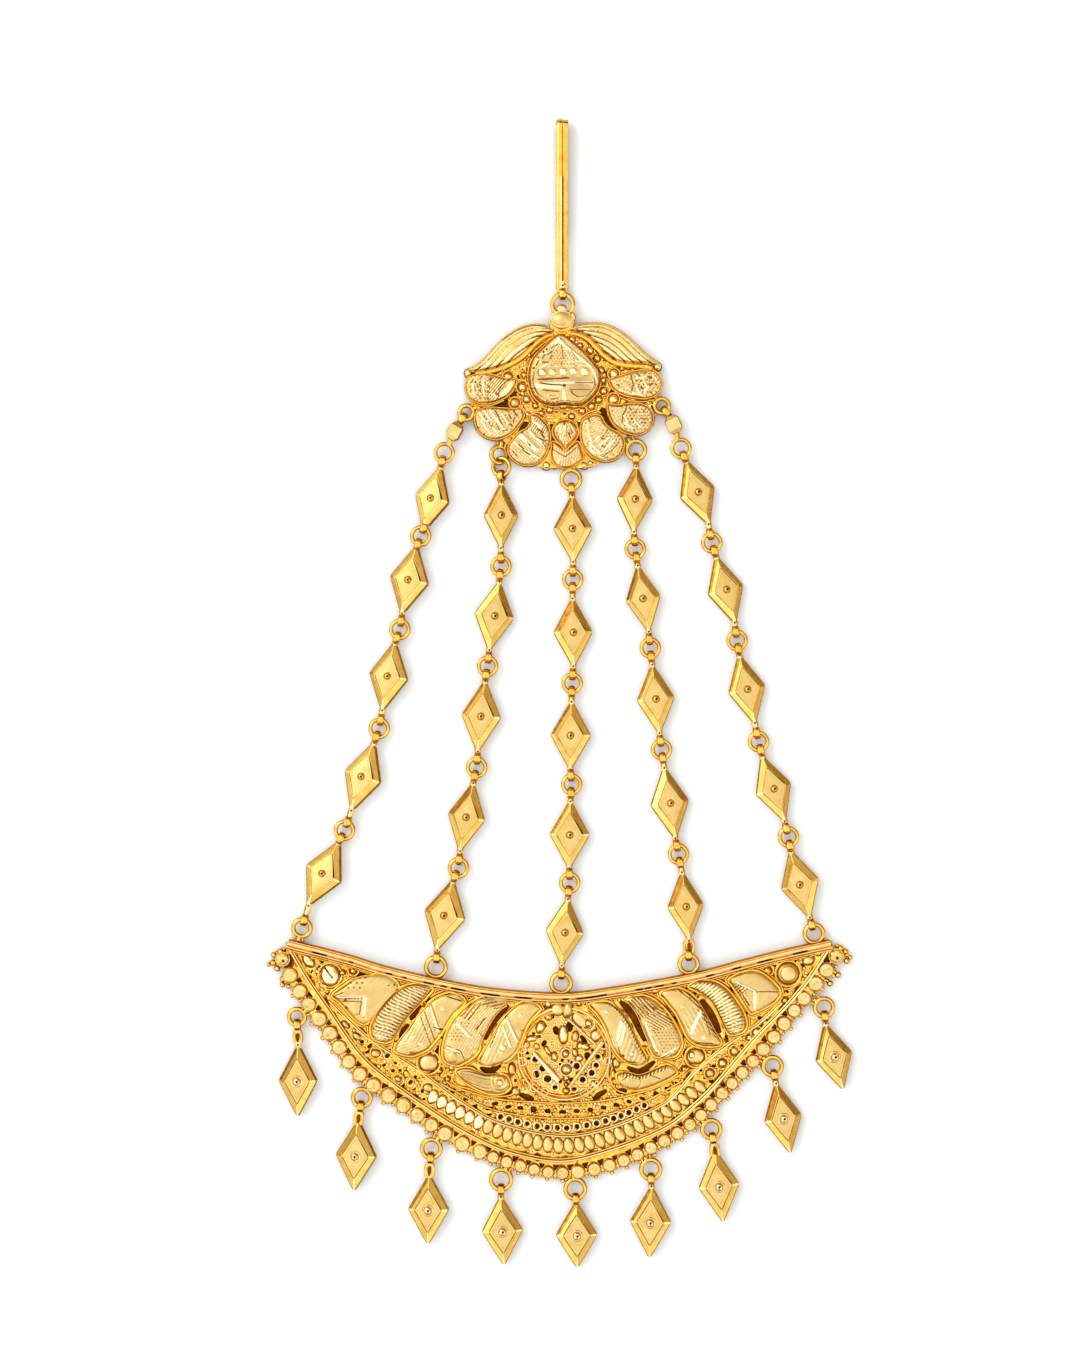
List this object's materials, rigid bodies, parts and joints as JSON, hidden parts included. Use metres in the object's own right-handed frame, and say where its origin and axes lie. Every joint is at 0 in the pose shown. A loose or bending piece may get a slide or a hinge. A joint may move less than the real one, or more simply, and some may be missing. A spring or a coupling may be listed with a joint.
{
  "type": "chhapka hair ornament",
  "caption": "Gold side-of-the-head hair ornament: a slim hook holds a leaf-shaped plate, from which chains of faceted links spread down to an openwork crescent with hanging drops",
  "frame": {"origin": "centre of the bounding box's bottom face, on the surface that the ornament lies on", "axes": "+Y runs from the drops up to the hair hook, along the ornament's length; +X is to the right as it is seen from the front; +Z is out of its front"},
  "size_m": [0.077, 0.1498, 0.003],
  "materials": {
    "granulated_gold": "high-carat yellow gold plate, matte-washed with bright-cut edges, soldered wires and granules",
    "cut_gold": "high-carat yellow gold, satin flats with bright bevels and engraved lines",
    "gold_wire": "high-carat yellow gold wire and strip, polished"
  },
  "bodies": {
    "root": {"chain_1_box_link": "cut_gold", "chain_1_diamond_1": "cut_gold", "chain_1_diamond_2": "cut_gold", "chain_1_diamond_3": "cut_gold", "chain_1_diamond_4": "cut_gold", "chain_1_diamond_5": "cut_gold", "chain_1_ring_1": "gold_wire", "chain_1_ring_2": "gold_wire", "chain_1_ring_3": "gold_wire", "chain_1_ring_4": "gold_wire", "chain_2_diamond_1": "cut_gold", "chain_2_diamond_2": "cut_gold", "chain_2_diamond_3": "cut_gold", "chain_2_diamond_4": "cut_gold", "chain_2_diamond_5": "cut_gold", "chain_2_ring_0": "gold_wire", "chain_2_ring_1": "gold_wire", "chain_2_ring_2": "gold_wire", "chain_2_ring_3": "gold_wire", "chain_2_ring_4": "gold_wire", "chain_3_diamond_1": "cut_gold", "chain_3_diamond_2": "cut_gold", "chain_3_diamond_3": "cut_gold", "chain_3_diamond_4": "cut_gold", "chain_3_diamond_5": "cut_gold", "chain_3_ring_1": "gold_wire", "chain_3_ring_2": "gold_wire", "chain_3_ring_3": "gold_wire", "chain_3_ring_4": "gold_wire", "chain_4_diamond_1": "cut_gold", "chain_4_diamond_2": "cut_gold", "chain_4_diamond_3": "cut_gold", "chain_4_diamond_4": "cut_gold", "chain_4_diamond_5": "cut_gold", "chain_4_ring_1": "gold_wire", "chain_4_ring_2": "gold_wire", "chain_4_ring_3": "gold_wire", "chain_4_ring_4": "gold_wire", "chain_5_box_link": "cut_gold", "chain_5_diamond_1": "cut_gold", "chain_5_diamond_2": "cut_gold", "chain_5_diamond_3": "cut_gold", "chain_5_diamond_4": "cut_gold", "chain_5_diamond_5": "cut_gold", "chain_5_ring_1": "gold_wire", "chain_5_ring_2": "gold_wire", "chain_5_ring_3": "gold_wire", "chain_5_ring_4": "gold_wire", "crescent": "granulated_gold", "drop_1": "cut_gold", "drop_2": "cut_gold", "drop_3": "cut_gold", "drop_4": "cut_gold", "drop_5": "cut_gold", "drop_6": "cut_gold", "drop_7": "cut_gold", "drop_8": "cut_gold", "drop_9": "cut_gold", "hair_hook": "gold_wire", "top_ornament": "granulated_gold"}
  },
  "joints": []
}
